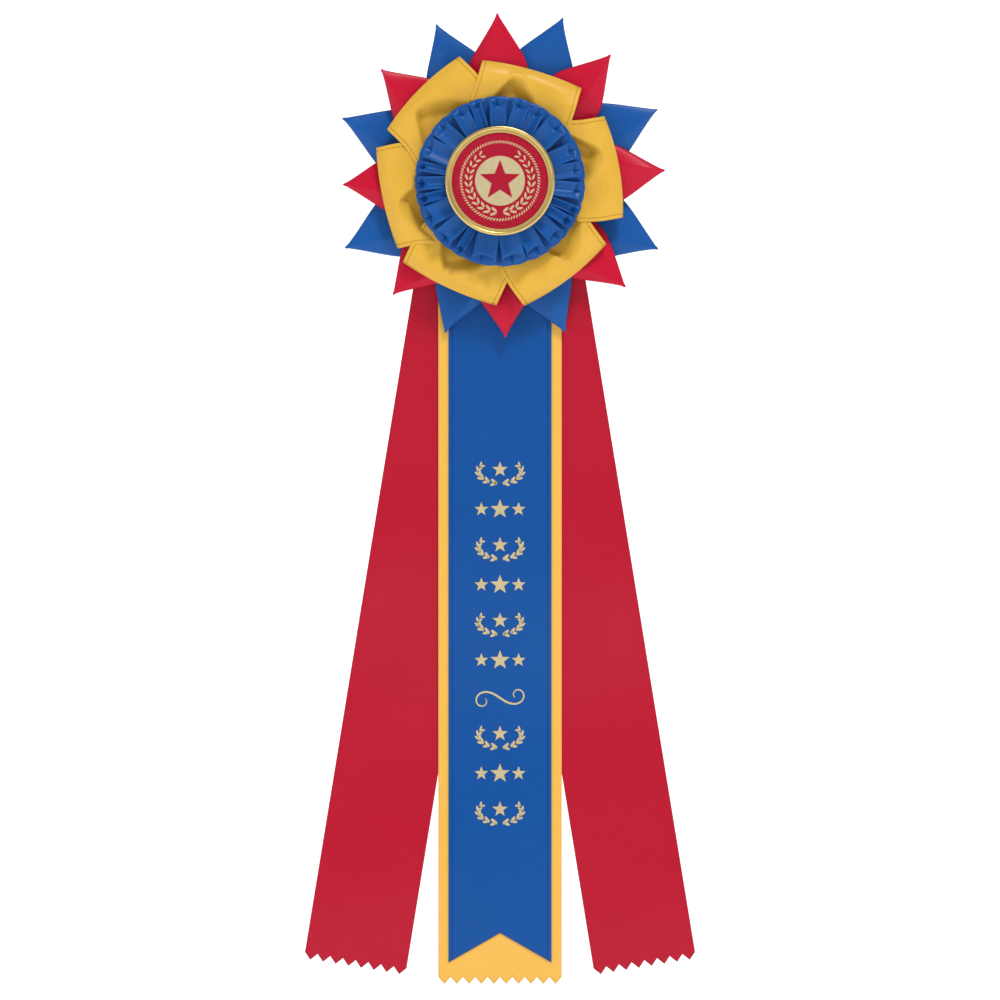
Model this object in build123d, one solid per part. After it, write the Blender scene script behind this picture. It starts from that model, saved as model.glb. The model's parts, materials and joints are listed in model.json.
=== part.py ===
from build123d import *
import os
from math import cos, radians, sin, tan

# An award rosette that hangs upright. X is to the right, Z is up and the front faces -Y.
# The origin is on the rosette's axis, on the rear face of its back card.
# A depth is a distance in front of that rear face, so a depth of 5 is at y = -5.

# Ribbon stock
narrow_ribbon = 63.5
wide_ribbon = 76.2
ribbon_thickness = 0.4
ply_gap = 0.3

# Cards
back_card_radius = 45.0
petal_card_radius = 55.0
card_thickness = 1.0

# Folded points: (direction in degrees anticlockwise from +X, reach of the tip)
red_points = [
    (91, 104), (49, 104), (4, 102), (-40, 101),
    (-88, 96), (-133.5, 96), (-179, 97), (136.6, 101),
]
blue_points = [
    (69, 108.5), (24.7, 107), (-23, 106), (-66.5, 101),
    (-110, 99), (-157, 104), (158, 105), (112, 105),
]
point_tip_angle = 60.0
point_thickness = 5.5
point_root = 20.0
neighbour_angle_gap = 0.3

# Square ribbon loops: (direction, reach of the folded end's corners, turn of that end), in degrees and mm
loops = [
    (73.4, 68.5, 0.7), (7.4, 70.0, 3.0), (-55.1, 69.5, 2.1),
    (-116.3, 69.6, 1.4), (-171.7, 69.8, 3.7), (130.8, 71.7, 4.4),
]
loop_bow = 3.2
loop_thickness = 10.0
loop_root = 18.0

# Pleated ruffle and the stiff ring that it is gathered on
ruffle_radius = 53.0
ruffle_bore = 15.0
ruffle_thickness = 9.0
ring_radius = 40.0
ring_thickness = 0.8

# Button
rim_radius = 33.7
rim_face = 4.0
rim_wall = 2.1
rim_lip = 1.2
rim_round = 0.5
shell_wall = 0.5
shell_depth = 3.5
shell_front = 0.7
film_thickness = 0.3
print_room = 0.1
button_back_thickness = 0.8
button_fit = 0.05

# Streamers
streamer_top = 12.0
blue_length = 481.6
swallowtail_depth = 18.2
gold_length = 495.0
red_length = 484.5
red_tilt = 9.25
red_offset = 10.85
pinking_pitch = 7.9
pinking_depth = 4.3
front_bend = 104.0
red_bend = 142.0
bend_gap = 2.0

# Staples and glue
staple_width = 10.0
staple_wire = 0.5
staple_heights = (-4.0, -12.0)
glue_radius = 6.0
glue_places = [(-25.0, 25.0), (0.0, 36.0), (25.0, 25.0)]

# Bar pin
bar_length = 34.0
bar_height = 5.0
bar_thickness = 0.7
sewing_hole_radius = 0.8
sewing_hole_spacing = 12.0
needle_radius = 0.45
bar_clearance = 0.3
needle_point = 1.5
needle_tip_radius = 0.06
hinge_x = 13.0
eye_radius = 1.3
eye_thickness = 0.9
ear_thickness = 0.6
ear_side_gap = 0.1
rivet_radius = 0.5
rivet_head_radius = 0.85
rivet_head = 0.3
running_clearance = 0.03
catch_x = -12.0
catch_length = 4.0
barrel_bore = 0.75
barrel_wall = 0.62
barrel_mouth = 1.2
housing_wall = 0.5
collar_length = 1.4
tab_reach = 1.3
barrel_lip = 0.4

# Radii of the catch, from the bore outwards, and the needle's line above the card
barrel_radius = barrel_bore + barrel_wall
housing_bore = barrel_radius + running_clearance
housing_radius = housing_bore + housing_wall
needle_height = bar_thickness + bar_clearance + housing_radius

# Depths, each layer on the one behind it
red_left_depth = card_thickness + ply_gap
red_right_depth = red_left_depth + ribbon_thickness + ply_gap
gold_depth = red_right_depth + ribbon_thickness + ply_gap
blue_depth = gold_depth + ribbon_thickness + ply_gap
petal_card_depth = blue_depth + ribbon_thickness + ply_gap
blue_point_depth = petal_card_depth + card_thickness + ply_gap
red_point_depth = blue_point_depth + point_thickness + ply_gap
loop_depth = red_point_depth + point_thickness + ply_gap
ring_depth = loop_depth + loop_thickness + ply_gap
ruffle_depth = ring_depth + ring_thickness + ply_gap
button_depth = ruffle_depth + ruffle_thickness + ply_gap


def save(name, solid):
    solid.label = name
    export_step(solid, f"parts/{name}.step")


def slab(points, depth, thickness):
    return extrude(Plane.XZ.offset(depth) * Polygon(*points, align=None), thickness)


def disc(radius, depth, thickness, bore=0.0):
    outline = Circle(radius)
    if bore:
        outline -= Circle(bore)
    return extrude(Plane.XZ.offset(depth) * outline, thickness)


def turned(points, direction):
    c = cos(radians(direction))
    s = sin(radians(direction))
    return [(c * x - s * z, s * x + c * z) for x, z in points]


def half_wedge(directions):
    """Half the smallest angle between neighbours in one layer, less their clearance."""
    ordered = sorted(a % 360 for a in directions)
    steps = [b - a for a, b in zip(ordered, ordered[1:] + [ordered[0] + 360])]
    return min(steps) / 2 - neighbour_angle_gap


def make_points(colour, points, depth):
    wedge = tan(radians(half_wedge([a for a, reach in points])))
    flank = tan(radians(point_tip_angle / 2))
    for number, (direction, reach) in enumerate(points, 1):
        shoulder = reach * flank / (flank + wedge)
        outline = [
            (point_root, -point_root * wedge),
            (shoulder, -shoulder * wedge),
            (reach, 0),
            (shoulder, shoulder * wedge),
            (point_root, point_root * wedge),
        ]
        save(f"{colour}_point_{number}", slab(turned(outline, direction), depth, point_thickness))


def make_loops():
    """Each loop is a ribbon's width with a bowed folded end, cut to the room between its neighbours."""
    wedge = tan(radians(half_wedge([direction for direction, reach, turn in loops])))
    half = narrow_ribbon / 2
    for number, (direction, reach, turn) in enumerate(loops, 1):
        far = reach + narrow_ribbon
        room = Polygon(
            (loop_root, -loop_root * wedge),
            (far, -far * wedge),
            (far, far * wedge),
            (loop_root, loop_root * wedge),
            align=None,
        )
        folded_end = ThreePointArc((0, -half), (loop_bow, 0), (0, half))
        sides = Polyline((0, half), (-reach, half), (-reach, -half), (0, -half))
        strip = Pos(reach, 0) * Rot(0, 0, turn) * make_face([folded_end, sides])
        outline = Rot(0, 0, direction) * (strip & room)
        loop = extrude(Plane.XZ.offset(loop_depth) * outline, loop_thickness)
        save(f"gold_loop_{number}", loop)


def make_cards():
    save("back_card", disc(back_card_radius, 0, card_thickness))
    save("petal_card", disc(petal_card_radius, petal_card_depth, card_thickness))


def make_ruffle():
    save("ruffle_ring", disc(ring_radius, ring_depth, ring_thickness, ruffle_bore))
    save("blue_ruffle", disc(ruffle_radius, ruffle_depth, ruffle_thickness, ruffle_bore))


def make_button():
    inner = rim_radius - rim_wall - button_fit
    front = button_depth + shell_depth
    skirt_inner = inner - shell_wall
    film_depth = front + shell_front
    cover_depth = film_depth + film_thickness + print_room
    lip_depth = cover_depth + film_thickness
    save("button_back", disc(skirt_inner - button_fit, button_depth, button_back_thickness))
    skirt = disc(inner, button_depth, shell_depth, skirt_inner)
    save("button_shell", skirt + disc(inner, front, shell_front))
    save("printed_face", disc(inner, film_depth, film_thickness))
    save("clear_cover", disc(inner, cover_depth, film_thickness))
    wall = disc(rim_radius, button_depth, lip_depth - button_depth, inner + button_fit)
    rim = wall + disc(rim_radius, lip_depth, rim_lip, rim_radius - rim_face)
    front_edges = rim.edges().filter_by(GeomType.CIRCLE).group_by(Axis.Y)[0]
    save("gold_rim", fillet(front_edges, rim_round))


def ribbon_end(width, length, cut):
    """The lower edge from left to right, as (across, along) with along measured downwards."""
    half = width / 2
    if cut == "swallowtail":
        return [(-half, length), (0, length - swallowtail_depth), (half, length)]
    teeth = round(width / pinking_pitch)
    pitch = width / teeth
    edge = [(-half, length - pinking_depth)]
    for tooth in range(teeth):
        left = -half + tooth * pitch
        edge += [(left + pitch / 2, length), (left + pitch, length - pinking_depth)]
    return edge


def make_streamer(name, width, length, cut, bend, depth, tilt=0.0, offset=0.0):
    """A head under the rosette and a tail below the bend, along a line that leans by tilt."""
    half = width / 2
    scale = 1 / cos(radians(tilt))
    head_end = bend * scale - bend_gap / 2
    tail_start = bend * scale + bend_gap / 2
    head = [(-half, -streamer_top), (-half, head_end), (half, head_end), (half, -streamer_top)]
    tail = [(-half, tail_start)] + ribbon_end(width, length * scale, cut) + [(half, tail_start)]
    for part, outline in (("head", head), ("tail", tail)):
        placed = turned([(x, -along) for x, along in outline], tilt)
        moved = [(x + offset, z) for x, z in placed]
        save(f"{name}_streamer_{part}", slab(moved, depth, ribbon_thickness))


def make_streamers():
    make_streamer("blue", narrow_ribbon, blue_length, "swallowtail", front_bend, blue_depth)
    make_streamer("gold", wide_ribbon, gold_length, "pinked", front_bend, gold_depth)
    make_streamer(
        "red_left", narrow_ribbon, red_length, "pinked", red_bend, red_left_depth, -red_tilt, -red_offset
    )
    make_streamer(
        "red_right", narrow_ribbon, red_length, "pinked", red_bend, red_right_depth, red_tilt, red_offset
    )


def make_fastenings():
    front = petal_card_depth + card_thickness
    leg_length = front - card_thickness
    staples = []
    for z in staple_heights:
        crown = Pos(0, -front - staple_wire / 2, z) * Box(staple_width, staple_wire, staple_wire)
        for side in (-1, 1):
            x = side * (staple_width - staple_wire) / 2
            leg = Box(staple_wire, leg_length, staple_wire)
            crown += Pos(x, -front + leg_length / 2, z) * leg
        staples.append(crown)
    save("staples", Compound(children=staples))
    dab_depth = petal_card_depth - card_thickness
    dabs = [Pos(x, 0, z) * disc(glue_radius, card_thickness, dab_depth) for x, z in glue_places]
    save("glue_dabs", Compound(children=dabs))


def rod_x(radius, start, end):
    """A cylinder along X on the needle's line."""
    place = Pos((start + end) / 2, needle_height, 0) * Rot(0, 90, 0)
    return place * Cylinder(radius, end - start)


def rod_z(radius, length):
    """A cylinder along Z on the hinge's line."""
    return Pos(hinge_x, needle_height, 0) * Cylinder(radius, length)


def mouth(start, end, width, reach):
    """The slot that lets the needle in, open towards +Y."""
    return Pos((start + end) / 2, needle_height + reach / 2, 0) * Box(end - start, reach, width)


def make_bar_pin():
    ear_inner = eye_thickness / 2 + ear_side_gap
    ear_outer = ear_inner + ear_thickness
    ear_rise = needle_height + eye_radius
    bar = Pos(0, bar_thickness / 2, 0) * Box(bar_length, bar_thickness, bar_height)
    for side in (-1, 1):
        hole = Pos(side * sewing_hole_spacing / 2, bar_thickness / 2, 0) * Rot(90, 0, 0)
        bar -= hole * Cylinder(sewing_hole_radius, 2 * bar_thickness)
        z = side * (ear_inner + ear_outer) / 2
        bar += Pos(hinge_x, ear_rise / 2, z) * Box(2 * eye_radius, ear_rise, ear_thickness)
    bar -= rod_z(rivet_radius, 2 * ear_outer + 1)
    save("pin_bar", bar)

    rivet = rod_z(rivet_radius, 2 * ear_outer)
    for side in (-1, 1):
        head = Pos(hinge_x, needle_height, side * (ear_outer + rivet_head / 2))
        rivet += head * Cylinder(rivet_head_radius, rivet_head)
    save("hinge_rivet", rivet)

    catch_start = catch_x - catch_length / 2
    catch_end = catch_x + catch_length / 2
    needle_end = catch_start - barrel_lip
    half_section = Polygon(
        (hinge_x, 0),
        (hinge_x, needle_radius),
        (needle_end, needle_radius),
        (needle_end - needle_point, needle_tip_radius),
        (needle_end - needle_point, 0),
        align=None,
    )
    shank = Pos(0, needle_height, 0) * revolve(half_section, Axis.X)
    eye_hole = rod_z(rivet_radius + running_clearance, 2 * eye_radius)
    needle = rod_z(eye_radius, eye_thickness) + shank - eye_hole
    save("needle", needle)

    foot_rise = needle_height - bar_thickness
    housing = rod_x(housing_radius, catch_start, catch_end)
    foot = Box(catch_length, foot_rise, 2 * barrel_radius)
    housing += Pos(catch_x, bar_thickness + foot_rise / 2, 0) * foot
    housing -= rod_x(housing_bore, catch_start - 1, catch_end + 1)
    housing -= mouth(catch_start, catch_end, barrel_mouth, 2 * housing_radius)
    save("catch_housing", housing)

    collar_start = catch_end + running_clearance
    collar_end = collar_start + collar_length
    lip_end = catch_start - running_clearance
    lip_start = lip_end - barrel_lip
    barrel = rod_x(barrel_radius, lip_start, collar_end)
    barrel += rod_x(housing_radius, collar_start, collar_end)
    barrel += rod_x(housing_bore + housing_wall / 2, lip_start, lip_end)
    tab_z = barrel_wall / 2 - housing_radius - tab_reach / 2
    tab_place = Pos((collar_start + collar_end) / 2, needle_height, tab_z)
    barrel += tab_place * Box(collar_length, barrel_mouth, tab_reach + barrel_wall)
    barrel -= rod_x(barrel_bore, lip_start - 1, collar_end + 1)
    barrel -= mouth(lip_start - 1, collar_end + 1, barrel_mouth, 2 * housing_radius)
    save("lock_barrel", barrel)


os.makedirs("parts", exist_ok=True)
make_cards()
make_points("blue", blue_points, blue_point_depth)
make_points("red", red_points, red_point_depth)
make_loops()
make_ruffle()
make_button()
make_streamers()
make_fastenings()
make_bar_pin()
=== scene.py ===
# %% [markdown]
# Award rosette: a round badge in a pleated ruffle, square ribbon loops, two layers of folded
# points and four long streamers. The CAD frame is loaded first and never changed. It holds the
# cards, the button and the bar pin, and a plain solid for each ribbon piece. Each plain solid is
# then replaced by real ribbon, and every surface gets its own finish.

# %% Load the frame
import json
import random
from math import atan2, cos, exp, pi, sin, sqrt, tan, radians

import bmesh
import bpy
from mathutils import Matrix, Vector


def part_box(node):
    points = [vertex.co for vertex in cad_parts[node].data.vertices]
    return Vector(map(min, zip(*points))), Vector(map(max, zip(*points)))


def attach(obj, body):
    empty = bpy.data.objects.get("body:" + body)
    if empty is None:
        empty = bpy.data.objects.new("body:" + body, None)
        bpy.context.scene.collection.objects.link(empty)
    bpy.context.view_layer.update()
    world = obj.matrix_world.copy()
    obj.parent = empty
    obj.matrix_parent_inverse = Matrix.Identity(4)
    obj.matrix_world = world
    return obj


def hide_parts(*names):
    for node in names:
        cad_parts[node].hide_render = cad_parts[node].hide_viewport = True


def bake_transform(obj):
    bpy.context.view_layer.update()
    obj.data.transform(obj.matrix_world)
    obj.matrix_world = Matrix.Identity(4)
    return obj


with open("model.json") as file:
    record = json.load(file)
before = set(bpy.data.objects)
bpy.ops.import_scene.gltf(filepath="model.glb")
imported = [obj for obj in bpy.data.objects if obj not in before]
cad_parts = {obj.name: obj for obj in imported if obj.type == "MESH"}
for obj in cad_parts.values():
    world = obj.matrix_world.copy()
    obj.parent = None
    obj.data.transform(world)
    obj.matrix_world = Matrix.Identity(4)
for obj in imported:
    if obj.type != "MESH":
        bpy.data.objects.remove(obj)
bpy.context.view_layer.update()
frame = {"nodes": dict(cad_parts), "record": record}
MM = 0.001
RIBBON = 63.5 * MM
WIDE_RIBBON = 76.2 * MM

# %% [markdown]
# Ribbon is a surface with almost no thickness, so each piece is a grid of points bent into its
# folds. Writing the grid as a formula of how far along and how far across gives even cloth and
# a UV map in real metres, which the weave needs so that it follows every fold. A wall is added
# at the end, once the surface is finished.

# %% A helper that bends a grid of ribbon
def ribbon_grid(name, place, along, across, uv):
    """A sheet whose point (i, j) is at place(i, j), with uv(i, j) in metres along and across."""
    mesh = bpy.data.meshes.new(name)
    built = bmesh.new()
    layer = built.loops.layers.uv.new("ribbon")
    rows = [[built.verts.new(place(i / along, j / across)) for j in range(across + 1)]
            for i in range(along + 1)]
    where = {}
    for i in range(along + 1):
        for j in range(across + 1):
            where[rows[i][j]] = uv(i / along, j / across)
    for i in range(along):
        for j in range(across):
            face = built.faces.new((rows[i][j], rows[i][j + 1], rows[i + 1][j + 1], rows[i + 1][j]))
            face.smooth = True
            for loop in face.loops:
                loop[layer].uv = where[loop.vert]
    bmesh.ops.recalc_face_normals(built, faces=built.faces)
    built.to_mesh(mesh)
    built.free()
    piece = bpy.data.objects.new(name, mesh)
    bpy.context.scene.collection.objects.link(piece)
    return piece


def give_wall(piece, thickness=0.22 * MM):
    """Turns the surface into cloth with two sides and an edge."""
    for other in bpy.context.selected_objects:
        other.select_set(False)
    piece.select_set(True)
    bpy.context.view_layer.objects.active = piece
    wall = piece.modifiers.new("wall", "SOLIDIFY")
    wall.thickness = thickness
    wall.offset = 0
    bpy.ops.object.modifier_apply(modifier=wall.name)
    return piece


def smooth_step(low, high, x):
    t = min(max((x - low) / (high - low), 0), 1)
    return t * t * (3 - 2 * t)


def round_min(a, b, soft):
    """The smaller of two lengths, with a rounded corner where they cross."""
    return 0.5 * (a + b - sqrt((a - b) ** 2 + soft * soft))


# %% [markdown]
# Satin has long threads on its face and a fine rib across it. On a soft white stage it shows its
# colour deeply and almost never turns white, so its gloss is low and its folds are read from shade.
# The rib, the threads and the small streaks of uneven thread all come from the ribbon's own UV
# map, in metres, so they keep their size on every piece and follow every fold.

# %% Satin
WAVE_PERIOD = 0.314  # a wave texture of scale 1 repeats every 0.314 m


def add(tree, kind, **settings):
    node = tree.nodes.new(kind)
    for key, value in settings.items():
        if key in node.inputs:
            node.inputs[key].default_value = value
        else:
            setattr(node, key, value)
    return node


def new_material(name, roughness, **sockets):
    material = bpy.data.materials.new(name)
    material.use_nodes = True
    shader = material.node_tree.nodes["Principled BSDF"]
    shader.inputs["Roughness"].default_value = roughness
    for key, value in sockets.items():
        shader.inputs[key.replace("_", " ")].default_value = value
    return material, material.node_tree, shader


def mathematics(tree, operation, *values):
    node = add(tree, "ShaderNodeMath", operation=operation)
    for socket, value in zip(node.inputs, values):
        if isinstance(value, (int, float)):
            socket.default_value = value
        else:
            tree.links.new(value, socket)
    return node.outputs[0]


def mix_colour(tree, factor, low, high):
    mix = add(tree, "ShaderNodeMix", data_type="RGBA")
    mix.inputs[6].default_value = (*low, 1)
    mix.inputs[7].default_value = (*high, 1)
    tree.links.new(factor, mix.inputs[0])
    return mix.outputs[2]


def satin(name, dark, bright, stitched=None, rib=0.00040, depth=0.1):
    """Woven ribbon. stitched is the ribbon's width where its selvedges carry a dashed line."""
    material, tree, shader = new_material(
        name, 0.34, Sheen_Weight=0.03, Sheen_Roughness=0.4, Specular_IOR_Level=0.2)
    uv = add(tree, "ShaderNodeUVMap", uv_map="ribbon")
    split = add(tree, "ShaderNodeSeparateXYZ")
    tree.links.new(uv.outputs[0], split.inputs[0])
    patches = add(tree, "ShaderNodeTexNoise", Scale=30.0, Detail=4.0)
    tree.links.new(uv.outputs[0], patches.inputs["Vector"])
    stretch = add(tree, "ShaderNodeMapping")
    stretch.inputs["Scale"].default_value = (1100, 70, 1)
    tree.links.new(uv.outputs[0], stretch.inputs["Vector"])
    streaks = add(tree, "ShaderNodeTexNoise", Scale=1.0, Detail=3.0)
    tree.links.new(stretch.outputs[0], streaks.inputs["Vector"])
    ribs = add(
        tree, "ShaderNodeTexWave", bands_direction="X", Scale=WAVE_PERIOD / rib, Distortion=0.4)
    tree.links.new(uv.outputs[0], ribs.inputs["Vector"])
    threads = add(tree, "ShaderNodeTexWave", bands_direction="Y", Scale=WAVE_PERIOD / rib / 1.6)
    tree.links.new(uv.outputs[0], threads.inputs["Vector"])
    weave = mathematics(tree, "MULTIPLY_ADD", ribs.outputs["Fac"], 0.7, threads.outputs["Fac"])
    tone = mathematics(tree, "MULTIPLY_ADD", patches.outputs["Fac"], 0.45, -0.15)
    tone = mathematics(tree, "MULTIPLY_ADD", streaks.outputs["Fac"], 0.55, tone)
    tone = mathematics(tree, "MULTIPLY_ADD", weave, 0.10, tone)
    colour = mix_colour(tree, tone, dark, bright)
    height = weave
    if stitched:
        colour, height = stitch_line(tree, split, colour, height, stitched, dark)
    tree.links.new(colour, shader.inputs["Base Color"])
    bump = add(tree, "ShaderNodeBump", Strength=depth, Distance=0.00006)
    tree.links.new(height, bump.inputs["Height"])
    tree.links.new(bump.outputs[0], shader.inputs["Normal"])
    return material


def stitch_line(tree, split, colour, height, width, dark):
    """A dashed line of sunk stitches, a little inside each selvedge."""
    def maths(*values):
        return mathematics(tree, *values)

    inset, half_line, pitch = 2.3 * MM, 0.40 * MM, 1.5 * MM
    dash_share, strength, sunk = 0.55, 0.85, 2.5
    from_middle = maths("ABSOLUTE", maths("SUBTRACT", split.outputs[1], width / 2))
    from_line = maths("ABSOLUTE", maths("SUBTRACT", from_middle, width / 2 - inset))
    on_line = maths("LESS_THAN", from_line, half_line)
    phase = maths("FRACT", maths("DIVIDE", split.outputs[0], pitch))
    dash = maths("MULTIPLY", on_line, maths("LESS_THAN", phase, dash_share))
    mix = add(tree, "ShaderNodeMix", data_type="RGBA")
    tree.links.new(maths("MULTIPLY", dash, strength), mix.inputs[0])
    tree.links.new(colour, mix.inputs[6])
    mix.inputs[7].default_value = (0.50 * dark[0], 0.38 * dark[1], 0.40 * dark[2], 1)
    return mix.outputs[2], maths("SUBTRACT", height, maths("MULTIPLY", dash, sunk))


blue_satin = satin("blue_satin", (0.005, 0.072, 0.310), (0.014, 0.135, 0.480))
blue_streamer_satin = satin(
    "blue_streamer_satin", (0.001, 0.067, 0.295), (0.004, 0.095, 0.380), RIBBON)
red_satin = satin("red_satin", (0.500, 0.003, 0.025), (0.715, 0.008, 0.048))
red_streamer_satin = satin("red_streamer_satin", (0.455, 0.004, 0.023), (0.525, 0.007, 0.031))
gold_satin = satin("gold_satin", (0.775, 0.410, 0.030), (0.865, 0.545, 0.090), RIBBON)
gold_streamer_satin = satin("gold_streamer_satin", (0.870, 0.460, 0.080), (0.940, 0.550, 0.110))
print("satin finishes", [m.name for m in bpy.data.materials])


# %% [markdown]
# A folded point is a strip of ribbon with both ends folded down behind, so it has one face in
# front, two folded edges that meet at the tip, and two flaps that overlap down the middle of the
# back. One closed loop of cloth, drawn at each distance from the tip, gives all of that: it goes
# from the seam behind, round one edge, over the front and round the other edge to the seam.

# %% Folded points
POINT_STEPS, POINT_ROUND = 44, 64
POINT_WEDGE = radians(21)  # the half-angle of the room that a point has between its neighbours
POINT_WIDEST = {"red": 19.5 * MM, "blue": 22.0 * MM}
POINT_ROOT = 20 * MM  # how near the axis a point begins
TIP_ANGLE = radians(28.5)  # the half-angle of the folded corner at the tip
TIP_BLUNT = 1.1 * MM
SOFT_CORNER = 3 * MM
FOLD_LEVEL = 0.22  # height of the folded edges, as a share of the point's depth


def tip_of(node):
    """Direction and reach of the corner furthest from the axis, and the layer's depths."""
    corners = [v.co for v in frame["nodes"][node].data.vertices]
    tip = max(corners, key=lambda co: co.x ** 2 + co.z ** 2)
    low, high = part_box(node)
    return atan2(tip.z, tip.x), sqrt(tip.x ** 2 + tip.z ** 2), -high.y, -low.y


def folded_point(name, material, seed):
    direction, reach, back, front = tip_of(name)
    chance = random.Random(seed)
    ridge = chance.choice((-1, 1, 1)) * chance.uniform(0.28, 0.60)
    swell = chance.uniform(0.86, 1.0)
    sway = chance.uniform(-0.5, 0.5) * MM
    bulge = chance.uniform(0.12, 0.22)
    sag = chance.uniform(0.16, 0.34)
    length = reach - POINT_ROOT
    depth = (front - back) * swell
    widest = POINT_WIDEST[name.split("_")[0]]

    def place(s, t):
        from_tip = length * s ** 1.35
        r = reach - from_tip
        swelling = 1 + bulge * sin(pi * min(from_tip / (0.62 * length), 1)) ** 0.8
        flank = from_tip * tan(TIP_ANGLE) * swelling
        blunt = TIP_BLUNT * sqrt(min(from_tip / (1.6 * MM), 1))
        room = min(r * tan(POINT_WEDGE), widest)
        half = max(round_min(max(flank, blunt), room, SOFT_CORNER), 0.12 * MM)
        front_side = t < 0.5
        v = -1 + 4 * t if front_side else 3 - 4 * t
        plump = depth * (1 - exp(-from_tip / (7.5 * MM)))
        edge = max(1 - v * v, 0)
        if front_side:
            side = (v - ridge) / (1 - ridge) if v > ridge else (ridge - v) / (1 + ridge)
            tent = max(1 - side, 0) ** 0.75
            flat = smooth_step(0.30, 0.85, from_tip / length)
            rise = (1 - flat) * (0.80 * tent + 0.20 * edge ** 0.5) + flat * edge ** 0.5
            trough = exp(-((v + 0.5 * ridge) / 0.38) ** 2)
            rise -= sag * smooth_step(0.15, 0.6, from_tip / length) * trough
            y = back + FOLD_LEVEL * depth + (1 - FOLD_LEVEL) * plump * rise
        else:
            lap = 0.05 * depth * (t > 0.75)
            y = back + FOLD_LEVEL * depth - 0.17 * plump * edge ** 0.5 - lap
        across = v * half + sway * sin(2 * pi * s)
        return (
            r * cos(direction) - across * sin(direction),
            -y,
            r * sin(direction) + across * cos(direction),
        )

    def uv(s, t):
        return (length * s, RIBBON * t)

    piece = ribbon_grid(name + "_ribbon", place, POINT_STEPS, POINT_ROUND, uv)
    piece.data.materials.append(material)
    return give_wall(piece)


def finish_ribbon(nodes):
    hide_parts(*nodes)


for colour, material in (("blue", blue_satin), ("red", red_satin)):
    for number in range(1, 9):
        node = f"{colour}_point_{number}"
        point = folded_point(node, material, node)
        finish_ribbon([node])
        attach(point, "root")
print("16 folded points")

# %% [markdown]
# A square loop is ribbon folded over at its outer end, so that end is a soft roll, its selvedges
# are the short straight sides, and the middle is pulled down and creased where the ruffle sits
# on it. The profile along the ribbon runs from the back, round the roll and down the front. The
# dimple under the ruffle is a smooth hollow with a few creases added to it.

# %% Square loops
LOOP_CUT = 112 * MM
LOOP_STEPS, LOOP_ACROSS = 150, 60
LOOP_CORNER = 74 * MM  # the only corners further out than this are those of the folded end
LOOP_ROOT = 18 * MM  # how near the axis the ribbon begins and ends
ROLL_START, ROLL_END = 0.46, 0.50  # the shares of its length between which it rolls over
BACK_LEVEL = 0.03  # height of the back ply, as a share of the loop's depth
ROLL_BULGE, ROLL_RISE = 0.5 * MM, 0.135
# Distances from the axis, each a start and an end: where the ruffle's cover ends, where the loop
# moves across to its own line, and where its sides stop lying over the next loop's.
COVERED = (36 * MM, 44 * MM)
SHIFTED = (30 * MM, 60 * MM)
STACKED = (56 * MM, 64 * MM)
BACK_NARROW = 60 * MM  # nearer the axis than this, the back ply is as narrow as it is under the ruffle


def loop_frame(node):
    """The two corners of a loop's folded end, clockwise one first, and its back and front depth."""
    outer = [Vector((v.co.x, 0, v.co.z)) for v in frame["nodes"][node].data.vertices]
    outer = [co for co in outer if co.length > LOOP_CORNER]
    first = max(outer, key=lambda co: co.length)
    second = max(outer, key=lambda co: (co - first).length)
    low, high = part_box(node)
    if first.cross(second).y > 0:
        first, second = second, first
    return first, second, -high.y, -low.y


# How high each loop's sides lie over its neighbours', the highest first.
LOOPS = {
    "gold_loop_1": 5, "gold_loop_2": 4, "gold_loop_6": 3,
    "gold_loop_3": 2, "gold_loop_5": 1, "gold_loop_4": 0,
}
LOOP_STACK = 0.42 * MM
LOOP_WEDGE = radians(27)  # the half-angle of the room that a loop has under the ruffle


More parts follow.
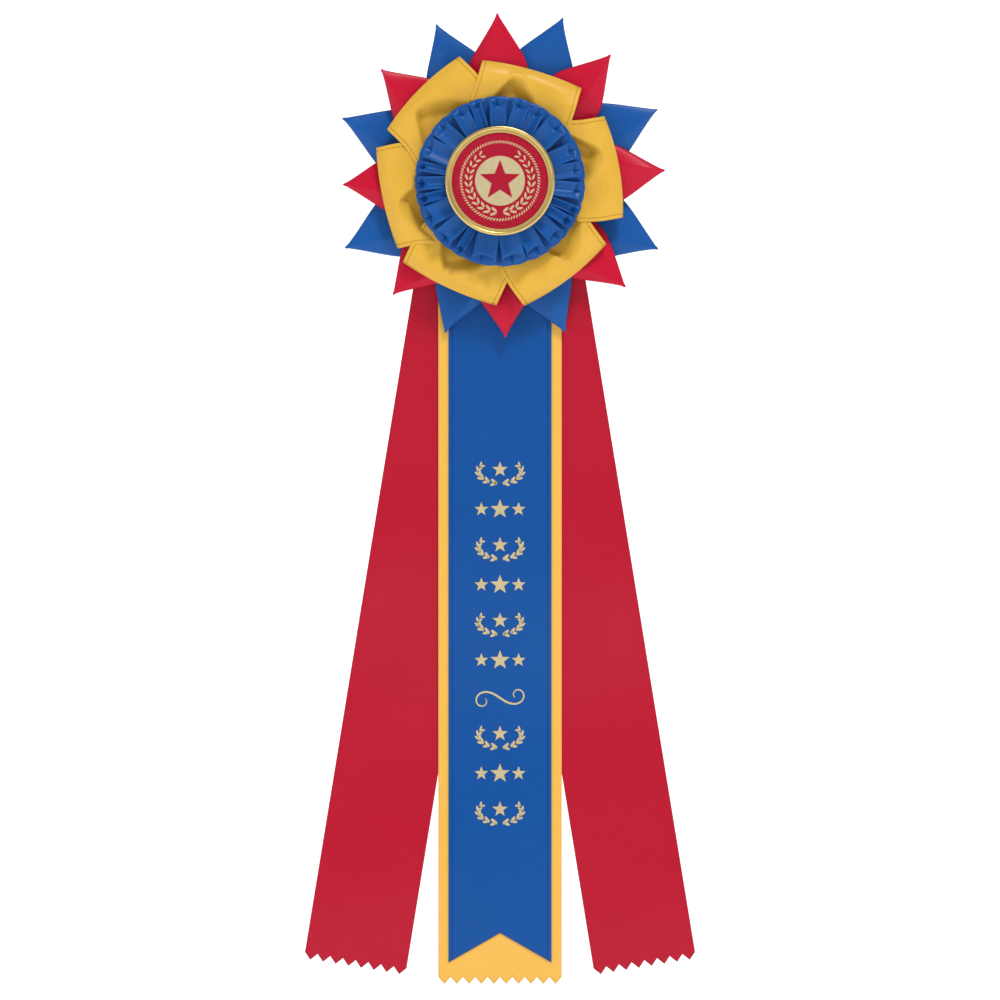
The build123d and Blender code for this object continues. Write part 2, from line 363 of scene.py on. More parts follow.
def square_loop(name, rank):
    clockwise, anticlockwise, back, front = loop_frame(name)
    middle = (clockwise + anticlockwise) / 2
    sideways = (anticlockwise - clockwise).normalized()
    outward = Vector((sideways.z, 0, -sideways.x))
    if outward.dot(middle) < 0:
        outward = -outward
    reach = middle.dot(outward)
    offset = middle.dot(sideways)
    chance = random.Random(name)
    depth = front - back
    bow = chance.uniform(2.4, 3.8) * MM
    dimple = chance.choice((-1, 1)) * chance.uniform(0.05, 0.34)
    steep, gentle = chance.uniform(0.20, 0.28), chance.uniform(0.40, 0.58)
    steep_above = chance.random() < 0.5
    if steep_above:
        steep, gentle = gentle, steep
    pit = chance.uniform(0.13, 0.18)
    deepest = chance.uniform(0.58, 0.70)
    wave = chance.uniform(0, 6)
    creases = chance.uniform(-14, 14)

    def front_height(k, v):
        """Height of the loop's face above its back, as a share of its depth."""
        crown = 0.30 + 0.54 * sin(pi / 2 * min(k / 0.16, 1)) ** 0.8
        crown -= 0.10 * v * v + 0.10 * smooth_step(0.20, 0.42, k)
        side = (v - dimple) / (gentle if v > dimple else steep)
        arch = pit + 0.16 * min(abs(side), 2.2) ** 1.7
        soft_side = -side if steep_above else side
        slope = 0.07 + 0.13 * smooth_step(-0.5, 0.6, soft_side)
        fall = deepest * smooth_step(arch - 0.03, arch + slope, k)
        lip = 0.10 * exp(-((k - arch + 0.06) / 0.035) ** 2) * exp(-side * side)
        pucker = 0.035 * smooth_step(0.03, 0.16, k) * sin(5.5 * v + 11 * k + wave)
        pucker += 0.018 * smooth_step(0.05, 0.2, k) * sin(13 * v - 17 * k + 2 * wave)
        pucker += 0.075 * fall * sin(9 * v + creases * k + wave)
        return max(crown - fall + lip + pucker, 0.10)

    def place(s, t):
        v = 2 * t - 1
        outer = reach + bow * (1 - v * v)
        if s < ROLL_START:
            in_front = 0
            along = LOOP_ROOT + (outer - LOOP_ROOT) * s / ROLL_START
            height = BACK_LEVEL
        elif s < ROLL_END:
            in_front = (s - ROLL_START) / (ROLL_END - ROLL_START)
            along = outer + ROLL_BULGE * sin(pi * in_front)
            height = BACK_LEVEL + ROLL_RISE * (1 - cos(pi * in_front))
        else:
            in_front = 1
            k = (s - ROLL_END) / (1 - ROLL_END)
            along = outer - (outer - LOOP_ROOT) * k
            height = front_height(k, v)
        covered = 1 - smooth_step(*COVERED, along)
        free = RIBBON / 2
        squeezed = min(free, along * tan(LOOP_WEDGE))
        behind = 1 - in_front if along < BACK_NARROW else 0
        half = free + (squeezed - free) * max(covered, behind)
        shift = offset * smooth_step(*SHIFTED, along)
        stacked = 1 - smooth_step(*STACKED, along)
        lift = LOOP_STACK * rank * in_front * smooth_step(0.42, 0.85, abs(v)) * stacked
        co = outward * along + sideways * (shift + v * half)
        return (co.x, -back - height * depth * 0.94 - lift, co.z)

    def uv(s, t):
        return (LOOP_CUT * s, RIBBON * t)

    piece = ribbon_grid(name + "_ribbon", place, LOOP_STEPS, LOOP_ACROSS, uv)
    piece.data.materials.append(gold_satin)
    return give_wall(piece)


for node, rank in LOOPS.items():
    loop = square_loop(node, rank)
    finish_ribbon([node])
    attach(loop, "root")
print("6 square loops")

# %% [markdown]
# The ruffle is one long ribbon, gathered into box pleats on a stiff ring. Seen from outside, its
# edge is a row of rolled C shapes. The pleats are uneven in width and in how far they lean, so
# each gets its own width and roll from a seeded random draw. Their edge goes forward over each
# pleat, back on itself, and down into the gap before the next.

# %% Pleated ruffle
PLEATS = 23
PLEAT_STEPS, RUFFLE_ROWS = 64, 16
ruffle_low, ruffle_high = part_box("blue_ruffle")
ruffle_outer = ruffle_high.x
ruffle_front, ruffle_back = -ruffle_low.y, -ruffle_high.y
chance = random.Random(11)
widths = [chance.uniform(0.52, 1.48) for _ in range(PLEATS)]
starts = [2 * pi * sum(widths[:n]) / sum(widths) for n in range(PLEATS + 1)]
pleat_reach = [chance.uniform(-1.5, 0.9) * MM for _ in range(PLEATS)]
pleat_lean = [chance.uniform(-0.15, 0.15) for _ in range(PLEATS)]
pleat_height = [chance.uniform(0.78, 1.0) for _ in range(PLEATS)]
pleat_tilt = [chance.uniform(-0.28, 0.28) for _ in range(PLEATS)]
pleat_hollow = [chance.uniform(0.0, 0.14) for _ in range(PLEATS)]
RUFFLE_WIDTH = 38.1 * MM
RUFFLE_INSIDE = RUFFLE_WIDTH - 0.5 * MM
# The same length of cloth is drawn up small at the inner edge, under the badge, in tight puckers.
PUCKER, PUCKERS = 0.5 * MM, 10
# Half of a pleat in section, from the middle of a gap to the middle of a face: share of the pitch,
# height, and how far in mm its edge is set back from the outermost. The gap's fold runs under the
# face, and the face's side rolls back over it, so the edge draws a C beside each face.
HALF_PLEAT = [
    (0.0, 0.02, 0.9), (0.16, 0.03, 0.4), (0.34, 0.03, 0.2), (0.475, 0.08, 0.4), (0.49, 0.20, 0.9),
    (0.38, 0.33, 1.3), (0.25, 0.42, 1.7), (0.15, 0.54, 2.1), (0.12, 0.70, 2.7), (0.13, 0.90, 3.4),
    (0.17, 1.0, 3.9), (0.24, 0.94, 4.8), (0.36, 0.78, 5.7),
]
FACE_MIDDLE = (0.5, 0.70, 6.1)
OTHER_HALF = [(1 - share, *rest) for share, *rest in HALF_PLEAT[:0:-1]]
PLEAT_SECTION = HALF_PLEAT + [FACE_MIDDLE] + OTHER_HALF


def through(points, at, period):
    """A smooth closed curve through points that repeat after a shift of period in share."""
    count = len(points)
    first = int(at * count)
    u = at * count - first
    near = []
    for n in range(first - 1, first + 3):
        turn, index = divmod(n, count)
        near.append((points[index][0] + turn * period, *points[index][1:]))
    weights = (
        -0.5 * u + u * u - 0.5 * u ** 3, 1 - 2.5 * u * u + 1.5 * u ** 3,
        0.5 * u + 2 * u * u - 1.5 * u ** 3, -0.5 * u * u + 0.5 * u ** 3)
    return tuple(sum(w * p[axis] for w, p in zip(weights, near)) for axis in (0, 1, 2))


def ruffle_place(s, t):
    at = s * PLEATS
    n = min(int(at), PLEATS - 1)
    share, height, setback = through(PLEAT_SECTION, min(at - n, 0.99999), 1.0)
    outward = t ** 0.9
    risen = max(height - 0.02, 0)
    across = 2 * share - 1
    tight = 1 + 0.38 * (1 - smooth_step(0.50, 1.05, outward)) * smooth_step(0.5, 0.9, height)
    angle_share = 0.5 + 0.5 * across * tight + pleat_lean[n] * risen * outward
    angle = starts[n] + angle_share * (starts[n + 1] - starts[n])
    slant = pleat_tilt[n] * across - pleat_hollow[n] * (1 - across * across)
    shape = pleat_height[n] + slant * outward
    tall = 0.02 + risen * min(shape, 1.0)
    edge_reach = ruffle_outer - (0.3 + setback) * MM + pleat_reach[n] * risen
    r = edge_reach - RUFFLE_INSIDE * (1 - outward)
    y = ruffle_back + (ruffle_front - ruffle_back) * (0.04 + 0.92 * tall * (0.92 + 0.08 * outward))
    gathered = PUCKER * (1 - smooth_step(0.10, 0.46, t))
    angle += gathered / r * cos(2 * pi * PUCKERS * at)
    y += gathered * sin(2 * pi * PUCKERS * at)
    return (r * cos(angle), -y, r * sin(angle))


EDGE_STEPS = 4000
edge = [Vector(ruffle_place(n / EDGE_STEPS, 1)) for n in range(EDGE_STEPS + 1)]
RUFFLE_LENGTH = round(sum((b - a).length for a, b in zip(edge, edge[1:])), 3)
print("ruffle's outer selvedge", RUFFLE_LENGTH, "m")
ruffle = ribbon_grid(
    "blue_ruffle_ribbon", ruffle_place, PLEATS * PLEAT_STEPS, RUFFLE_ROWS,
    lambda s, t: (RUFFLE_LENGTH * s, RUFFLE_WIDTH * t))
ruffle.data.materials.append(blue_satin)
give_wall(ruffle)
finish_ribbon(
    ["blue_ruffle"])
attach(ruffle, "root")
print("ruffle of", PLEATS, "pleats")

# %% [markdown]
# Each streamer is one flat ribbon, hung from under the rosette, with its end cut by shears. The
# grid's last rows stretch down to the cut line, so a zigzag or a notch is real geometry. The
# frame holds each streamer as a head and a tail with a bend between them, and one straight ribbon
# stands for both. Ribbon off a roll never hangs quite flat, so below the bends all four stand a
# little off their plane. They share one wave, so none cuts another.

# %% Streamers
PINKING_PITCH = 7.9 * MM
PINKING_DEPTH = 4.3 * MM
SWALLOWTAIL = 18.2 * MM
TILT = radians(9.25)
STREAMER_STEPS, SWALLOWTAIL_COLUMNS, TOOTH_COLUMNS = 150, 64, 6
joints = {joint["name"]: joint for joint in frame["record"]["behaviour"]["joints"]}
SWAY_START = min(joint["pos_m"][2] for joint in joints.values()) - 12 * MM


def sway(x, z):
    """How far a hanging ribbon stands off its plane at a place (x, z) below the bends."""
    below = max(SWAY_START - z, 0)
    long_wave = 2.4 * MM * sin(2 * pi * below / (230 * MM))
    short_wave = 0.35 * MM * sin(2 * pi * (below / (110 * MM) + x / (240 * MM)))
    return (long_wave + short_wave) * smooth_step(0, 120 * MM, below)


def cut_depth(cut, x, width):
    """How far short of the longest point the ribbon ends, at x across from its left edge."""
    if cut == "swallowtail":
        return SWALLOWTAIL * (1 - abs(2 * x / width - 1))
    teeth = round(width / PINKING_PITCH)
    phase = (x / width * teeth) % 1
    return PINKING_DEPTH * abs(2 * phase - 1)


def streamer(name, width, cut, tilt, material, joint_name):
    joint = joints[joint_name]
    hinge = Vector(joint["pos_m"])
    down = Vector((sin(tilt), 0, -cos(tilt)))
    sideways = Vector((cos(tilt), 0, sin(tilt)))
    head, tail = f"{name}_streamer_head", f"{name}_streamer_tail"

    def along(node):
        """How far down the streamer each corner of a node lies from the bend."""
        return [(v.co - hinge).dot(down) for v in frame["nodes"][node].data.vertices]

    top, bottom = min(along(head)), max(along(tail))
    length = bottom - top
    teeth = round(width / PINKING_PITCH)
    across = SWALLOWTAIL_COLUMNS if cut == "swallowtail" else teeth * TOOTH_COLUMNS

    def place(s, t):
        x = t * width
        end = length - cut_depth(cut, x, width)
        co = hinge + down * (top + end * s) + sideways * (x - width / 2)
        return (co.x, co.y - sway(co.x, co.z), co.z)

    def uv(s, t):
        return (length * s, width * t)

    piece = ribbon_grid(name + "_streamer_ribbon", place, STREAMER_STEPS, across, uv)
    piece.data.materials.append(material)
    give_wall(piece, 0.2 * MM)
    finish_ribbon([head, tail])
    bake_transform(piece)
    print(name, "streamer", round(length, 4), "m long")


streamer("blue", RIBBON, "swallowtail", 0, blue_streamer_satin, "blue_swing")
streamer("gold", WIDE_RIBBON, "pinked", 0, gold_streamer_satin, "gold_swing")
streamer("red_left", RIBBON, "pinked", -TILT, red_streamer_satin, "red_left_swing")
streamer("red_right", RIBBON, "pinked", TILT, red_streamer_satin, "red_right_swing")


# %% [markdown]
# The hard parts get a finish each: plated steel for the pin and the staples, tinned sheet for the
# button, stiff buckram for the ring, card, and glue. All but the rim keep their CAD shape. The gold
# made here is for the rim, which is turned in the next section. Each finish is a fine speckle on
# Object coordinates, because these pieces have no UV.

# %% Finishes for the hard parts
def speckled(name, low, high, roughness, scale=400.0, bump=0.05, **sockets):
    material, tree, shader = new_material(name, roughness, **sockets)
    place = add(tree, "ShaderNodeTexCoord")
    noise = add(tree, "ShaderNodeTexNoise", Scale=scale, Detail=4.0)
    tree.links.new(place.outputs["Object"], noise.inputs["Vector"])
    tree.links.new(mix_colour(tree, noise.outputs["Fac"], low, high), shader.inputs["Base Color"])
    relief = add(tree, "ShaderNodeBump", Strength=bump, Distance=0.0001)
    tree.links.new(noise.outputs["Fac"], relief.inputs["Height"])
    tree.links.new(relief.outputs[0], shader.inputs["Normal"])
    return material


def dress(node, material):
    piece = frame["nodes"][node]
    piece.data.materials.clear()
    piece.data.materials.append(material)


card = speckled("card", (0.80, 0.79, 0.74), (0.88, 0.87, 0.83), 0.75)
buckram = speckled("buckram", (0.70, 0.68, 0.60), (0.85, 0.83, 0.76), 0.8, 900.0, 0.4)
tinplate = speckled("tinplate", (0.55, 0.56, 0.58), (0.66, 0.67, 0.69), 0.35, Metallic=1.0)
pin_steel = speckled("pin_steel", (0.34, 0.35, 0.36), (0.46, 0.47, 0.48), 0.24, Metallic=1.0)
rim_gold = speckled(
    "rim_gold", (0.64, 0.45, 0.14), (0.82, 0.62, 0.25), 0.33, 160.0, 0.05, Metallic=1.0)
glue = speckled("glue", (0.80, 0.74, 0.56), (0.88, 0.84, 0.70), 0.45)
for node, material in {
    "petal_card": card, "ruffle_ring": buckram, "button_back": tinplate, "button_shell": tinplate,
    "staples": pin_steel, "glue_dabs": glue, "pin_bar": pin_steel, "hinge_rivet": pin_steel,
    "needle": pin_steel, "catch_housing": pin_steel, "lock_barrel": pin_steel,
}.items():
    dress(node, material)
print("hard parts dressed")

# %% [markdown]
# The rim is one ring of gold sheet with a rolled bead outside, a step, and a flat land round the
# window. A ring like this is turned: a circle is drawn out through each corner of the section in
# turn, each time to a new radius and depth, until it comes back to where it began. That keeps the
# section in plain sight, as a short list, and every corner of it can be read off the part.

# %% Turned rim
TURNED_STEPS = 160


def turned(name, section, material):
    """A ring about the Y axis through each (radius, depth) of a closed section."""
    bpy.ops.object.select_all(action="DESELECT")
    radius, depth = section[0]
    bpy.ops.mesh.primitive_circle_add(
        vertices=TURNED_STEPS, radius=radius, fill_type="NOTHING",
        location=(0, -depth, 0), rotation=(pi / 2, 0, 0))
    ring = bpy.context.object
    ring.name = name
    bpy.ops.object.transform_apply(location=True, rotation=True, scale=True)
    bpy.ops.object.mode_set(mode="EDIT")
    for (old_radius, old_depth), (radius, depth) in zip(section, section[1:] + section[:1]):
        bpy.ops.mesh.extrude_region_move(TRANSFORM_OT_translate={"value": (0, old_depth - depth, 0)})
        growth = radius / old_radius
        bpy.ops.transform.resize(value=(growth, 1, growth), center_override=(0, 0, 0))
    bpy.ops.mesh.select_all(action="SELECT")
    bpy.ops.mesh.remove_doubles(threshold=0.001 * MM)
    bpy.ops.mesh.normals_make_consistent(inside=False)
    bpy.ops.object.mode_set(mode="OBJECT")
    bpy.ops.object.shade_smooth_by_angle(angle=radians(35))
    ring.data.materials.append(material)
    return ring


rim_low, rim_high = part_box("gold_rim")
rim_outside, rim_back, rim_front = rim_high.x, -rim_high.y, -rim_low.y
rim_corners = [v.co for v in frame["nodes"]["gold_rim"].data.vertices]
rim_window = min(sqrt(co.x ** 2 + co.z ** 2) for co in rim_corners)
rear_corners = [co for co in rim_corners if co.y > -rim_back - 0.1 * MM]
rim_inside = min(sqrt(co.x ** 2 + co.z ** 2) for co in rear_corners)
lip_back = -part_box("clear_cover")[0].y
BEAD = 1.15 * MM  # half the width of the rolled bead
BEAD_HEIGHT = 0.75 * MM
BEAD_STEPS = 8
LAND_DROP = 0.45 * MM  # how far the flat land lies behind the top of the bead
bead = []
for n in range(BEAD_STEPS + 1):
    a = pi * n / BEAD_STEPS
    bead.append((rim_outside - BEAD + BEAD * cos(a), rim_front - BEAD_HEIGHT * (1 - sin(a))))
bead[-1] = (rim_outside - 2 * BEAD, rim_front - LAND_DROP - 0.15 * MM)
rim_section = [(rim_outside, rim_back), *bead]
rim_section += [
    (rim_outside - 2 * BEAD - 0.15 * MM, rim_front - LAND_DROP),
    (rim_window + 0.3 * MM, rim_front - LAND_DROP),
    (rim_window, rim_front - LAND_DROP - 0.25 * MM),
    (rim_window, lip_back), (rim_inside, lip_back), (rim_inside, rim_back)]
rim = turned("gold_rim_turned", rim_section, rim_gold)
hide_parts("gold_rim")
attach(rim, "root")
print("rim of", len(rim_section), "corners, window radius", round(rim_window, 5))

# %% [markdown]
# The back card is plain card with faint ruled lines for someone to write on. The lines are a
# repeating stripe on the card's height, kept to a patch in the middle of the card.

# %% Ruled back card
LINE_PITCH, LINE_SHARE, LINE_HALF = 9 * MM, 0.06, 27 * MM
LINES_TOP, LINES_BOTTOM = -6 * MM, -34 * MM
material, tree, shader = new_material("back_card_finish", 0.72)
place = add(tree, "ShaderNodeTexCoord")
split = add(tree, "ShaderNodeSeparateXYZ")
tree.links.new(place.outputs["Object"], split.inputs[0])
noise = add(tree, "ShaderNodeTexNoise", Scale=500.0, Detail=3.0)
tree.links.new(place.outputs["Object"], noise.inputs["Vector"])
paper = mix_colour(tree, noise.outputs["Fac"], (0.82, 0.81, 0.77), (0.90, 0.89, 0.86))

raised = mathematics(tree, "ADD", split.outputs[2], 1.0)  # keeps the count of lines above zero
stripe = mathematics(tree, "FRACT", mathematics(tree, "DIVIDE", raised, LINE_PITCH))
line = mathematics(tree, "LESS_THAN", stripe, LINE_SHARE)
from_middle = mathematics(tree, "ABSOLUTE", split.outputs[0])
inside = mathematics(tree, "LESS_THAN", from_middle, LINE_HALF)
below = mathematics(tree, "LESS_THAN", split.outputs[2], LINES_TOP)
above = mathematics(tree, "GREATER_THAN", split.outputs[2], LINES_BOTTOM)
within = mathematics(tree, "MULTIPLY", below, above)
ruled = mathematics(tree, "MULTIPLY", mathematics(tree, "MULTIPLY", line, inside), within)
ink = add(tree, "ShaderNodeMix", data_type="RGBA")
tree.links.new(ruled, ink.inputs[0])
tree.links.new(paper, ink.inputs[6])
ink.inputs[7].default_value = (0.22, 0.24, 0.30, 1)
tree.links.new(ink.outputs[2], shader.inputs["Base Color"])
dress("back_card", material)
print("back card ruled")

# %% [markdown]
# The badge face is a red disc printed in pale gold foil, under a clear film. Its design is a plain
# one: a rope ring, two laurel sprigs and a star on a round field. Foil is a flat shape with a
# little height, so each motif starts as a filled circle. A leaf is one squeezed long, and a star is
# a circle of ten corners with every other corner drawn in. Each is made once and copied.

# %% Badge face, film and a foil blank
badge_red = speckled(
    "badge_red", (0.400, 0.003, 0.022), (0.470, 0.006, 0.030), 0.45, 900.0, 0.03,
    Specular_IOR_Level=0.08)
foil = speckled("foil", (0.47, 0.36, 0.16), (0.78, 0.67, 0.40), 0.40, 1100.0, 0.12, Metallic=0.15)
dress("printed_face", badge_red)
clear, clear_tree, clear_shader = new_material(
    "clear_film", 0.05, Alpha=0.012, Specular_IOR_Level=0.5)
place = add(clear_tree, "ShaderNodeTexCoord")
noise = add(clear_tree, "ShaderNodeTexNoise", Scale=60.0)
clear_tree.links.new(place.outputs["Object"], noise.inputs["Vector"])
tint = mix_colour(clear_tree, noise.outputs["Fac"], (0.25, 0.26, 0.27), (0.35, 0.35, 0.36))
clear_tree.links.new(tint, clear_shader.inputs["Base Color"])
dress("clear_cover", clear)
face_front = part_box("printed_face")[0].y


def foil_blank(name, corners, long, wide, y):
    """A flat filled shape that faces -Y, long by wide in half-lengths, on the axis at depth y."""
    bpy.ops.object.select_all(action="DESELECT")
    bpy.ops.mesh.primitive_circle_add(
        vertices=corners, radius=1, fill_type="NGON", location=(0, y, 0), rotation=(pi / 2, 0, 0))
    blank = bpy.context.object
    blank.name = name
    blank.scale = (long, wide, 1)
    bpy.ops.object.transform_apply(location=False, rotation=True, scale=True)
    blank.data.materials.append(foil)
    return blank


STAR_WAIST = 0.42  # how far in a star's inner corners are drawn, as a share of its points' reach


def make_star(name, radius, y):
    star = foil_blank(name, 10, radius, radius, y)
    bpy.ops.object.mode_set(mode="EDIT")
    bpy.ops.mesh.select_all(action="DESELECT")
    bpy.ops.object.mode_set(mode="OBJECT")
    top = max(star.data.vertices, key=lambda vertex: vertex.co.z).index
    for vertex in star.data.vertices:
        vertex.select = (vertex.index - top) % 2 == 1
    bpy.ops.object.mode_set(mode="EDIT")
    bpy.ops.transform.resize(value=(STAR_WAIST,) * 3, center_override=(0, y, 0))
    bpy.ops.object.mode_set(mode="OBJECT")
    return star


def copies(blank, places):
    """A copy of the blank, with its own mesh, at each (x, z, angle, size). The blank then goes."""
    made = []
    for x, z, angle, size in places:
        copy = blank.copy()
        copy.data = blank.data.copy()
        bpy.context.scene.collection.objects.link(copy)
        copy.location = (x, blank.location.y, z)
        copy.rotation_euler = (0, -angle, 0)
        copy.scale = (size, 1, size)
        made.append(copy)
    bpy.data.objects.remove(blank)
    return made


def join_foil(name, pieces, thickness, body):
    """Joins flat motifs, fixes their places into their points and gives them their height."""
    bpy.ops.object.select_all(action="DESELECT")
    for piece in pieces:
        piece.select_set(True)
    bpy.context.view_layer.objects.active = pieces[0]
    if len(pieces) > 1:
        bpy.ops.object.join()
    joined = bpy.context.object
    joined.name = name
    bpy.ops.object.transform_apply(location=True, rotation=True, scale=True)
    give_wall(joined, thickness)
    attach(joined, body)
    print(name, len(joined.data.polygons), "faces")
    return joined


# %% Foil on the badge
ROPE_RING, ROPE_STRANDS = 24 * MM, 84
FIELD_RADIUS = 15.3 * MM
STRAND_SLANT = 0.95  # how far each strand of the rope turns from the ring's line, in radians
SPRIG_RADIUS, SPRIG_LEAVES = 19.4 * MM, 12
SPRIG_START, SPRIG_STEP = 0.20, 0.212  # angles from the foot of the badge, in radians
LEAF_OUT, LEAF_LEAN = 1.35 * MM, 0.5
FOIL = 0.03 * MM
foil_y = face_front - FOIL / 2
field = foil_blank("field", 64, FIELD_RADIUS, FIELD_RADIUS, foil_y)
strand_angles = [2 * pi * n / ROPE_STRANDS for n in range(ROPE_STRANDS)]
rope = copies(
    foil_blank("strand", 8, 1.15 * MM, 0.46 * MM, foil_y),
    [(ROPE_RING * cos(a), ROPE_RING * sin(a), a + pi / 2 + STRAND_SLANT, 1) for a in strand_angles])
leaves = []
for side in (-1, 1):
    for n in range(SPRIG_LEAVES):
        a = -pi / 2 + side * (SPRIG_START + SPRIG_STEP * n)
        size = 1 - 0.25 * n / SPRIG_LEAVES
        for row in (-1, 1):
            r = SPRIG_RADIUS + row * LEAF_OUT
            leaves.append((r * cos(a), r * sin(a), a + side * (pi / 2 - row * LEAF_LEAN), size))
sprigs = copies(foil_blank("leaf", 12, 2.2 * MM, 0.78 * MM, foil_y), leaves)
join_foil("badge_foil", [field] + rope + sprigs, FOIL, "root")
badge_star = make_star("badge_star", 13 * MM, foil_y - FOIL)
badge_star.data.materials[0] = badge_red
join_foil("badge_star", [badge_star], FOIL, "root")

# %% [markdown]
# The blue streamer carries a column of foil ornaments down its middle: laurel pairs round a star,
# rows of stars, and a scroll between the upper and lower groups. The scroll is a curve whose turn
# grows with the distance from its middle, which curls both its ends. It is drawn with a round
# brush that thins towards the ends, made a mesh, and pressed flat.

# %% Foil ornaments on the streamer
blue_hinge = Vector(joints["blue_swing"]["pos_m"])
STREAMER_FOIL = 0.05 * MM
ornament_y = blue_hinge.y - 0.22 * MM - STREAMER_FOIL / 2
ROW_PITCH = 23.3 * MM
FIRST_ROW = -178.6 * MM
SCROLL_ROW = 6
ROWS = ["laurel", "stars"] * 3 + ["scroll", "laurel", "stars", "laurel"]
LAUREL_LEAVES, LAUREL_HALF, LAUREL_RISE = 6, 13.5 * MM, 7.2 * MM
LAUREL_START, LAUREL_STEP = 0.28, 0.37  # angles from the foot of a sprig, in radians
LAUREL_TURN, LAUREL_OUT = 0.6, 1.1 * MM
STAR_SPACING, SIDE_STAR, LAUREL_STAR = 11.5 * MM, 0.72, 0.8
stars, sprig_leaves = [], []
for row, motif in enumerate(ROWS):
    z = FIRST_ROW - row * ROW_PITCH
    if motif == "stars":
        stars += [(-STAR_SPACING, z, 0, SIDE_STAR), (0, z, 0, 1), (STAR_SPACING, z, 0, SIDE_STAR)]
    if motif == "laurel":
        stars.append((0, z + 1.2 * MM, 0, LAUREL_STAR))
        for side in (-1, 1):
            for n in range(LAUREL_LEAVES):
                a = -pi / 2 + side * (LAUREL_START + LAUREL_STEP * n)
                x, up = LAUREL_HALF * cos(a), LAUREL_RISE * sin(a)
                lean = atan2(LAUREL_RISE * cos(a), -LAUREL_HALF * sin(a)) + (0 if side > 0 else pi)
                for turn in (-LAUREL_TURN, LAUREL_TURN):
                    sprig_leaves.append((
                        x - LAUREL_OUT * turn * sin(lean), z + up + LAUREL_OUT * turn * cos(lean),
                        lean + turn, 1 - 0.05 * n))
ornaments = copies(make_star("ornament_star", 6.2 * MM, ornament_y), stars)
ornament_leaf = foil_blank("ornament_leaf", 10, 2.5 * MM, 0.95 * MM, ornament_y)
ornaments += copies(ornament_leaf, sprig_leaves)
streamer_foil = join_foil("streamer_foil", ornaments, STREAMER_FOIL, "blue_tail")


def follow_sway(piece):
    """Lays a flat piece on the hanging ribbon."""
    for vertex in piece.data.vertices:
        vertex.co.y -= sway(vertex.co.x, vertex.co.z)


follow_sway(streamer_foil)


# %% Foil scroll
SCROLL_POINTS = 61
SCROLL_TURN = 6.2
SCROLL_HALF = 31 * MM
SCROLL_LEVEL = 0.60  # turns the scroll so that its two curls are level
SCROLL_PRESSED = 0.06  # how much of its thickness is left once it is pressed flat
bpy.ops.object.select_all(action="DESELECT")
bpy.ops.curve.primitive_nurbs_path_add(location=(0, ornament_y, FIRST_ROW - SCROLL_ROW * ROW_PITCH))
scroll = bpy.context.object
scroll.name = "streamer_scroll"
spline = scroll.data.splines[0]
spline.points.add(SCROLL_POINTS - len(spline.points))
half_count = SCROLL_POINTS // 2
step = SCROLL_HALF / half_count
arm = [(0.0, 0.0)]
for n in range(half_count):
    heading = SCROLL_TURN * ((n + 0.5) / half_count) ** 2
    arm.append((arm[-1][0] + step * cos(heading), arm[-1][1] + step * sin(heading)))
for n, (x, z) in enumerate(arm):
    thin = 0.35 + 0.65 * (1 - n / half_count) ** 0.6
    for sign in (-1, 1):
        point = spline.points[half_count + sign * n]
        level_x = x * cos(SCROLL_LEVEL) + z * sin(SCROLL_LEVEL)
        level_z = z * cos(SCROLL_LEVEL) - x * sin(SCROLL_LEVEL)
        point.co = (sign * level_x, 0, sign * level_z, 1)
        point.radius = thin
scroll.data.bevel_depth = 0.7 * MM
scroll.data.bevel_resolution = 3
scroll.data.use_fill_caps = True
bpy.ops.object.convert(target="MESH")
scroll = bpy.context.object
scroll.scale = (1, SCROLL_PRESSED, 1)
bpy.ops.object.transform_apply(location=True, rotation=True, scale=True)
scroll.data.materials.clear()
scroll.data.materials.append(foil)
follow_sway(scroll)
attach(scroll, "blue_tail")
print("scroll", len(scroll.data.polygons), "faces")

# %% [markdown]
# The stage is a pale floor that curves up into a wall a long way behind, so that light falls on
# the ribbon evenly and views from behind stay clear. A far soft light shines down from the right
# and a weaker, broader one from the left. The camera is level, far off and long, so it adds hardly
# any perspective to the rosette, which stands out from its streamers.

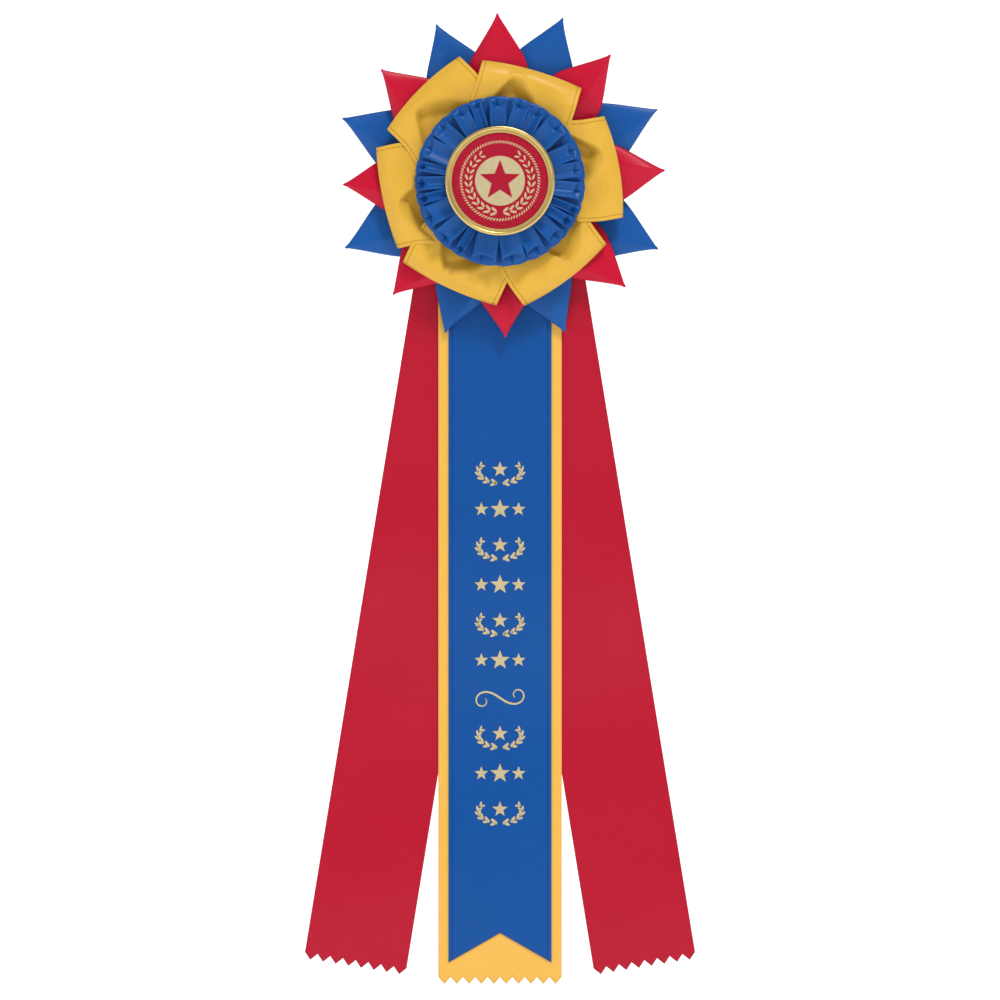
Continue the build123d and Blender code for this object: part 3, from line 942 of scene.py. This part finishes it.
# %% Stage, lights and camera
FLOOR = -0.62
STAGE = 30
FLOOR_GLOW, SKY_GLOW = 0.42, 0.36
bpy.ops.object.select_all(action="DESELECT")
bpy.ops.mesh.primitive_plane_add(size=STAGE, location=(0, 0, FLOOR))
floor = bpy.context.object
floor.name = "floor"
bpy.ops.object.transform_apply(location=True)
bpy.ops.object.mode_set(mode="EDIT")
bpy.ops.mesh.select_all(action="DESELECT")
sheet_mesh = bmesh.from_edit_mesh(floor.data)
for edge in sheet_mesh.edges:
    edge.select = all(v.co.y > STAGE / 2 - 0.01 for v in edge.verts)
bmesh.update_edit_mesh(floor.data)
bpy.ops.mesh.extrude_region_move(TRANSFORM_OT_translate={"value": (0, 0, STAGE / 2)})
bpy.ops.mesh.select_all(action="DESELECT")
sheet_mesh = bmesh.from_edit_mesh(floor.data)
for edge in sheet_mesh.edges:
    edge.select = all(v.co.y > STAGE / 2 - 0.01 and v.co.z < FLOOR + 0.01 for v in edge.verts)
bmesh.update_edit_mesh(floor.data)
bpy.ops.mesh.bevel(offset=4, segments=24)
bpy.ops.object.mode_set(mode="OBJECT")
bpy.ops.object.shade_smooth()
pale = speckled("pale_floor", (0.90, 0.90, 0.90), (0.93, 0.93, 0.93), 0.9, 30.0, 0.0)
pale_shader = pale.node_tree.nodes["Principled BSDF"]
pale_shader.inputs["Emission Color"].default_value = (1, 1, 1, 1)
pale_shader.inputs["Emission Strength"].default_value = FLOOR_GLOW
floor.data.materials.append(pale)
world = bpy.data.worlds.new("studio")
bpy.context.scene.world = world
world.use_nodes = True
world.node_tree.nodes["Background"].inputs[0].default_value = (1, 1, 1, 1)
world.node_tree.nodes["Background"].inputs[1].default_value = SKY_GLOW


def soft_light(name, place, spread, strength):
    """A far soft light that shines from place towards the origin."""
    data = bpy.data.lights.new(name, "SUN")
    data.angle = radians(spread)
    data.energy = strength
    light = bpy.data.objects.new(name, data)
    bpy.context.scene.collection.objects.link(light)
    light.location = place
    light.rotation_euler = (-Vector(place)).to_track_quat("-Z", "Y").to_euler()


soft_light("key", (0.55, -1.5, 2.2), 12, 1.55)
soft_light("fill", (-1.9, -1.6, 0.7), 40, 0.18)

VIEW_WIDTH = 0.6175
VIEW_MIDDLE = -0.1962
DISTANCE = 9.0
SENSOR = 36
camera_data = bpy.data.cameras.new("camera")
camera = bpy.data.objects.new("camera", camera_data)
bpy.context.scene.collection.objects.link(camera)
bpy.context.scene.camera = camera
camera_data.sensor_width = SENSOR
camera_data.lens = SENSOR * DISTANCE / VIEW_WIDTH
camera.location = (0, -DISTANCE, VIEW_MIDDLE)
camera.rotation_euler = (pi / 2, 0, 0)
bpy.context.scene.view_settings.view_transform = "Standard"
print("camera lens", camera_data.lens)
